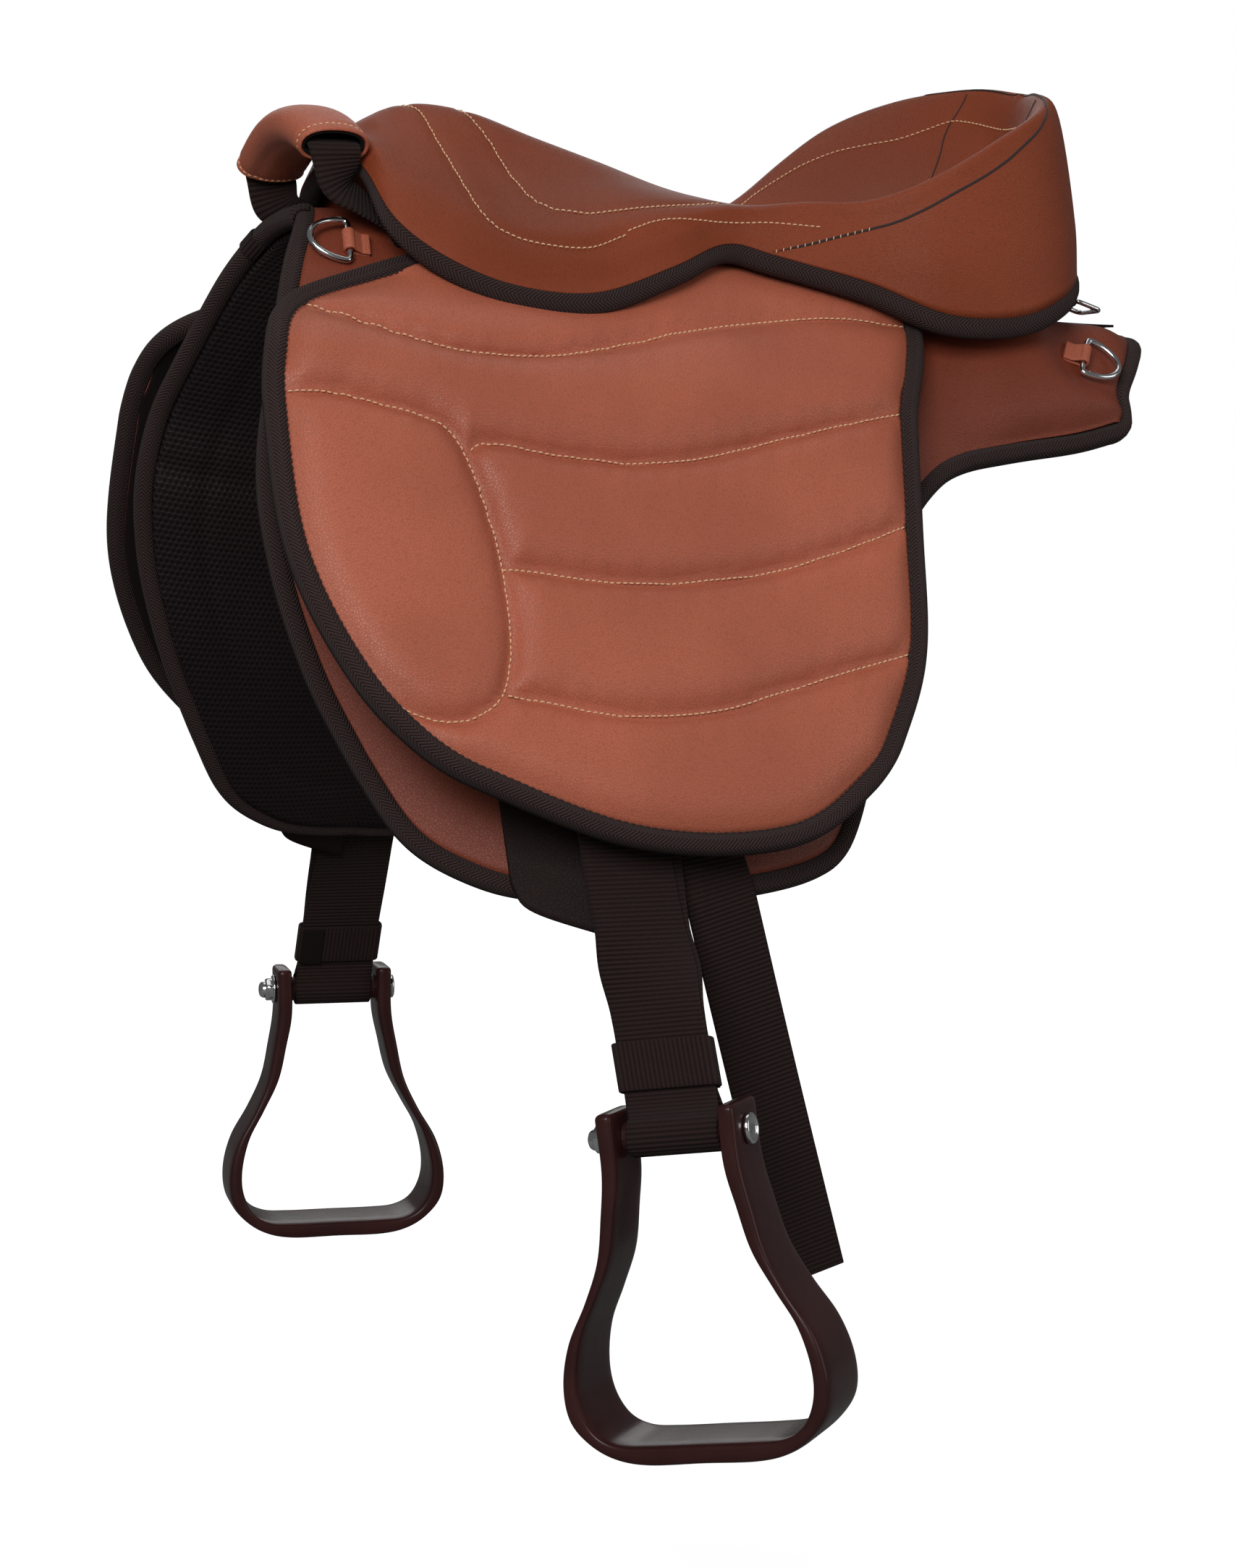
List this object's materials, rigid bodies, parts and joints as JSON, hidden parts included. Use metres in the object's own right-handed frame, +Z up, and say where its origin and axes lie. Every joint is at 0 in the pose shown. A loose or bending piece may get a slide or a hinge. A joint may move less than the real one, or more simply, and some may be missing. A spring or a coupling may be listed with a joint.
{
  "type": "treeless saddle",
  "caption": "Brown leather treeless saddle with a moulded seat, quilted lifting flaps, webbing stirrup straps, swivelling stirrups, girth straps, a grab handle and D-rings.",
  "frame": {"origin": "underside of the base at the waist of the seat, on the middle plane, where the saddle rests on the horse's back", "axes": "-X towards the pommel and the horse's head, -Y the horse's left side, +Z up"},
  "size_m": [0.5878, 0.7006, 0.7344],
  "materials": {
    "seat_leather": "semi-matt grain",
    "flap_leather": "semi-matt grain",
    "lining": "matt, perforated",
    "binding_tape": "woven herringbone",
    "webbing": "ribbed weave",
    "stirrup_plastic": "gloss",
    "bright_steel": "polished"
  },
  "bodies": {
    "saddle": {"base_binding_left": "binding_tape", "base_binding_right": "binding_tape", "base_lining_left": "lining", "base_lining_right": "lining", "base_pad_left": "flap_leather", "base_pad_right": "flap_leather", "flap_yoke_binding_front_left": "binding_tape", "flap_yoke_binding_front_right": "binding_tape", "flap_yoke_binding_rear_left": "binding_tape", "flap_yoke_binding_rear_right": "binding_tape", "flap_yoke_left": "flap_leather", "flap_yoke_right": "flap_leather", "front_keeper_tape_left": "binding_tape", "front_keeper_tape_right": "binding_tape", "front_ring_tab_left": "flap_leather", "front_ring_tab_right": "flap_leather", "girth_guard_left": "seat_leather", "girth_guard_right": "seat_leather", "rear_billet": "webbing", "rear_buckle_strap": "binding_tape", "rear_ring_tab_left": "flap_leather", "rear_ring_tab_right": "flap_leather", "seat_binding": "binding_tape", "seat_cushion": "seat_leather", "seat_hook_panel": "lining", "stirrup_hanger_left": "webbing", "stirrup_hanger_right": "webbing"},
    "flap_left": {"flap_panel_left": "flap_leather", "flap_panel_binding_left": "binding_tape"},
    "strap_left": {"stirrup_strap_left": "webbing", "hanger_ring_left": "bright_steel", "strap_spacer_left": "bright_steel"},
    "keeper_left": {"strap_keeper_left": "binding_tape"},
    "stirrup_left": {"stirrup_left": "stirrup_plastic", "stirrup_bolt_left": "bright_steel", "stirrup_cap_nut_left": "bright_steel"},
    "girth_left": {"girth_strap_left": "webbing"},
    "front_ring_left": {"front_ring_left": "bright_steel"},
    "rear_ring_left": {"rear_ring_left": "bright_steel"},
    "flap_right": {"flap_panel_right": "flap_leather", "flap_panel_binding_right": "binding_tape"},
    "strap_right": {"stirrup_strap_right": "webbing", "hanger_ring_right": "bright_steel", "strap_spacer_right": "bright_steel"},
    "keeper_right": {"strap_keeper_right": "binding_tape"},
    "stirrup_right": {"stirrup_right": "stirrup_plastic", "stirrup_bolt_right": "bright_steel", "stirrup_cap_nut_right": "bright_steel"},
    "girth_right": {"girth_strap_right": "webbing"},
    "front_ring_right": {"front_ring_right": "bright_steel"},
    "rear_ring_right": {"rear_ring_right": "bright_steel"},
    "handle": {"handle_webbing": "webbing", "handle_sleeve": "flap_leather", "handle_lining": "lining"},
    "buckle_frame": {"buckle_frame": "bright_steel"},
    "buckle_tongue": {"buckle_tongue": "bright_steel"}
  },
  "joints": [
    {"name": "flap_fold_left", "type": "hinge", "parent": "saddle", "child": "flap_left", "pos_m": [-0.30188, -0.14867, -0.03913], "axis": [-0.9971, -0.0761, -0.0025], "range_deg": [0, 75]},
    {"name": "strap_swing_left", "type": "hinge", "parent": "saddle", "child": "strap_left", "pos_m": [-0.14202, -0.11806, -0.05079], "axis": [0, -0.9063, 0.4226], "range_deg": [-8, 8]},
    {"name": "keeper_slide_left", "type": "slide", "parent": "strap_left", "child": "keeper_left", "axis": [0, 0.4226, 0.9063], "range_m": [0, 0.008]},
    {"name": "stirrup_swivel_left", "type": "hinge", "parent": "strap_left", "child": "stirrup_left", "pos_m": [-0.14202, -0.29387, -0.42781], "axis": [-0.7123, 0.6879, -0.1392], "range_deg": [-12, 90]},
    {"name": "girth_swing_left", "type": "hinge", "parent": "saddle", "child": "girth_left", "pos_m": [-0.12765, -0.12943, -0.09366], "axis": [0.0025, -0.901, 0.4338], "range_deg": [-5, 5]},
    {"name": "front_ring_tip_left", "type": "hinge", "parent": "saddle", "child": "front_ring_left", "pos_m": [-0.24064, -0.06714, 0.03189], "axis": [0.1123, 0.5726, 0.8121], "range_deg": [0, 30]},
    {"name": "rear_ring_tip_left", "type": "hinge", "parent": "saddle", "child": "rear_ring_left", "pos_m": [0.20355, -0.08997, -0.02281], "axis": [-0.4531, -0.5507, -0.701], "range_deg": [0, 100]},
    {"name": "flap_fold_right", "type": "hinge", "parent": "saddle", "child": "flap_right", "pos_m": [-0.30188, 0.14867, -0.03913], "axis": [0.9971, -0.0761, 0.0025], "range_deg": [0, 75]},
    {"name": "strap_swing_right", "type": "hinge", "parent": "saddle", "child": "strap_right", "pos_m": [-0.14202, 0.11806, -0.05079], "axis": [0, 0.9063, 0.4226], "range_deg": [-8, 8]},
    {"name": "keeper_slide_right", "type": "slide", "parent": "strap_right", "child": "keeper_right", "axis": [0, -0.4226, 0.9063], "range_m": [0, 0.008]},
    {"name": "stirrup_swivel_right", "type": "hinge", "parent": "strap_right", "child": "stirrup_right", "pos_m": [-0.14202, 0.29387, -0.42781], "axis": [0.9877, -0.1564, 0], "range_deg": [-12, 90]},
    {"name": "girth_swing_right", "type": "hinge", "parent": "saddle", "child": "girth_right", "pos_m": [-0.12765, 0.12943, -0.09366], "axis": [0.0025, 0.901, 0.4338], "range_deg": [-5, 5]},
    {"name": "front_ring_tip_right", "type": "hinge", "parent": "saddle", "child": "front_ring_right", "pos_m": [-0.24064, 0.06714, 0.03189], "axis": [-0.1123, 0.5726, -0.8121], "range_deg": [0, 30]},
    {"name": "rear_ring_tip_right", "type": "hinge", "parent": "saddle", "child": "rear_ring_right", "pos_m": [0.20355, 0.08997, -0.02281], "axis": [0.4531, -0.5507, 0.701], "range_deg": [0, 100]},
    {"name": "handle_tip", "type": "hinge", "parent": "saddle", "child": "handle", "pos_m": [-0.20297, 0, 0.03639], "axis": [0, -1, 0], "range_deg": [0, 5]},
    {"name": "buckle_frame_tip", "type": "hinge", "parent": "saddle", "child": "buckle_frame", "pos_m": [0.2415, 0, 0.01495], "axis": [0, -1, 0], "range_deg": [0, 50]},
    {"name": "buckle_tongue_tip", "type": "hinge", "parent": "buckle_frame", "child": "buckle_tongue", "pos_m": [0.2415, 0, 0.01495], "axis": [0, -1, 0], "range_deg": [0, 50]}
  ]
}
